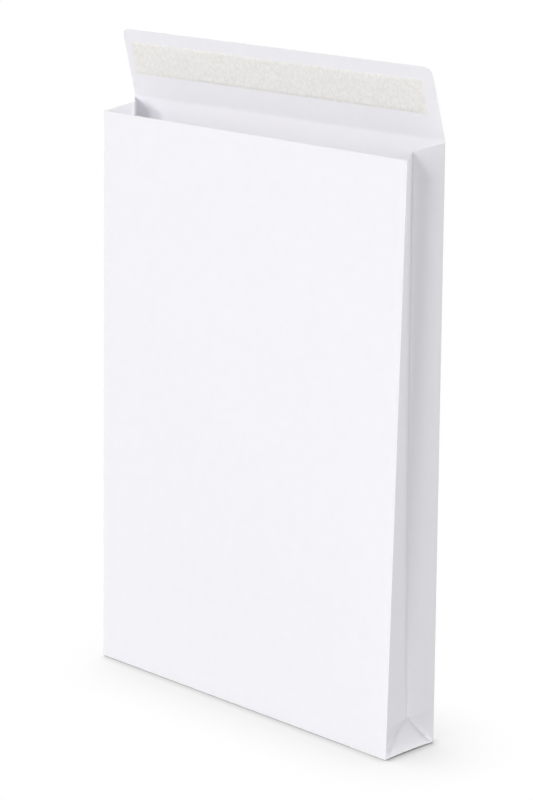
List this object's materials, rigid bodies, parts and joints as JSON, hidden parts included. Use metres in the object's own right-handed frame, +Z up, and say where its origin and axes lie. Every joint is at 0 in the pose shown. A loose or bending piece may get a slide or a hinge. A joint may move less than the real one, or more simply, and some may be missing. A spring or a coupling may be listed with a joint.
{
  "type": "gusseted envelope",
  "caption": "Large white paper envelope standing open on a flat base, with inward-folding side gussets, an upright closing flap and a covered adhesive strip on the flap.",
  "frame": {"origin": "middle of the flat base, on the surface that the envelope stands on", "axes": "+Z up towards the mouth and flap, +X to the right along the plain near panel, +Y from the near panel to the far panel that carries the flap"},
  "size_m": [0.254, 0.0504, 0.3963],
  "materials": {
    "white_paper": "matte",
    "adhesive": "satin",
    "liner_paper": "satin"
  },
  "bodies": {
    "root": {"paper_blank": "white_paper", "adhesive_band": "adhesive", "release_liner": "liner_paper"}
  },
  "joints": []
}
